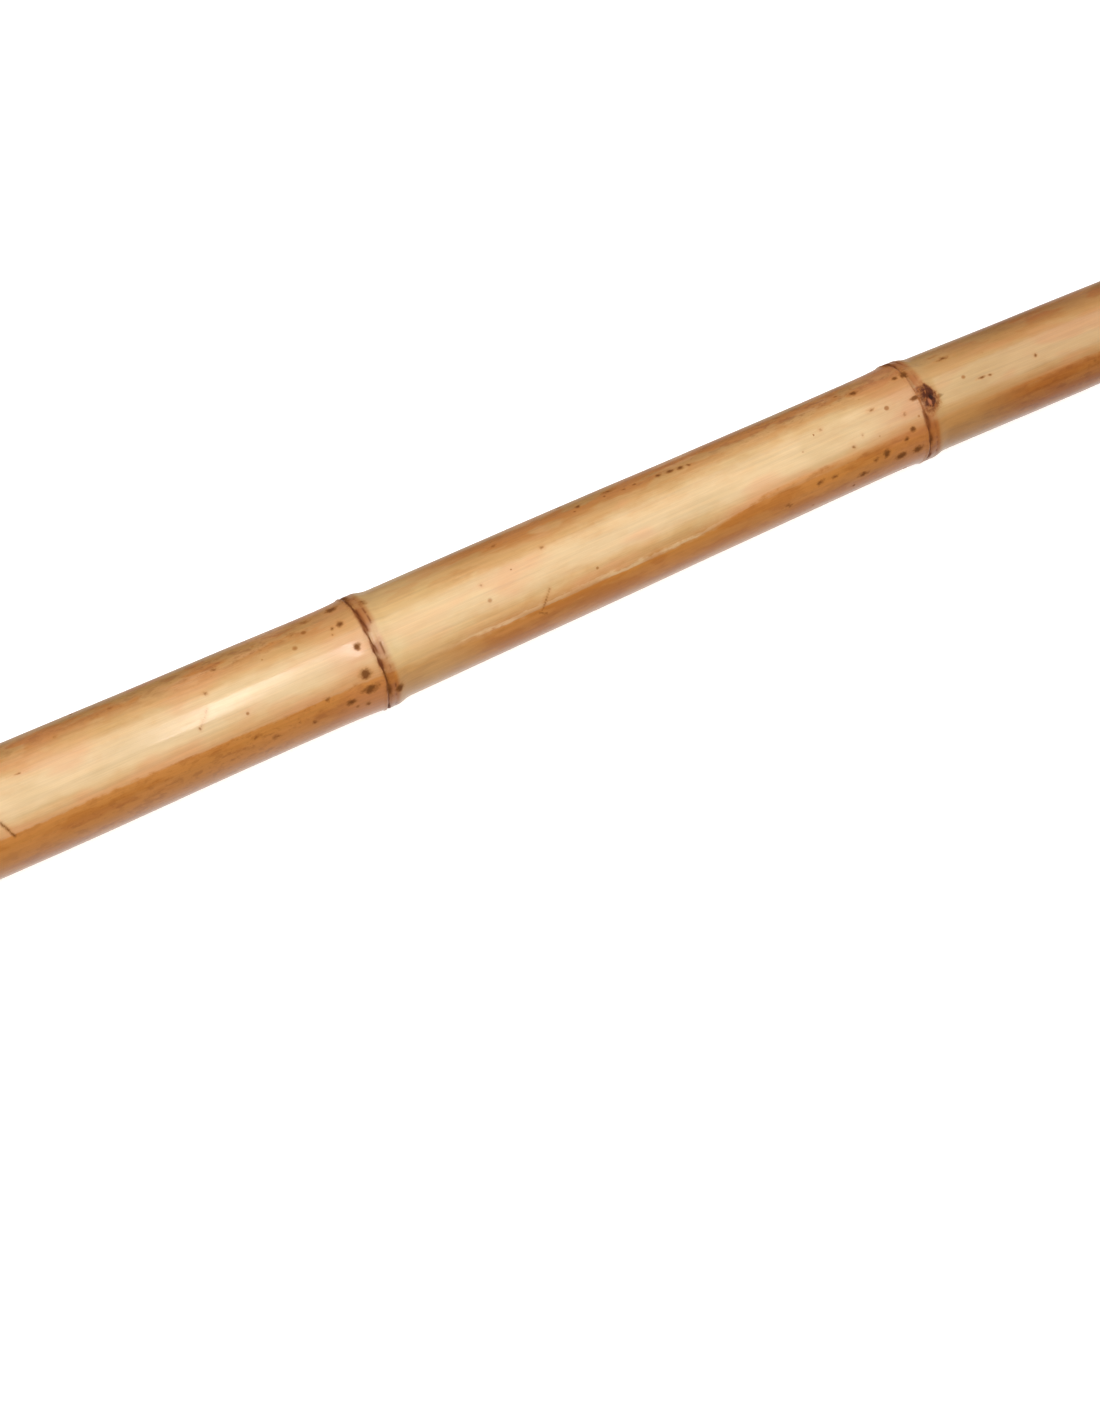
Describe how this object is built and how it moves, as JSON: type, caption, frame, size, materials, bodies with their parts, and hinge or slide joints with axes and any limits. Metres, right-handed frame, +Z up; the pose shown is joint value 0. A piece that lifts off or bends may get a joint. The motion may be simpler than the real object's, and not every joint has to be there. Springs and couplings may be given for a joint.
{
  "type": "bamboo cane",
  "caption": "Straight, slightly tapering dried bamboo cane lying on its side, with swollen ringed nodes, trimmed branch scars and hollow sawn ends.",
  "frame": {"origin": "centre of the bottom face of the bounding box, on the surface that the cane's node rings rest on", "axes": "+X along the cane from its thick butt end to its thin tip end, +Z up, +Y across it"},
  "size_m": [0.9, 0.0456, 0.0434],
  "materials": {
    "bamboo": "smooth dried culm skin, honey to straw yellow, waxy gloss"
  },
  "bodies": {
    "root": {"cane": "bamboo"}
  },
  "joints": []
}
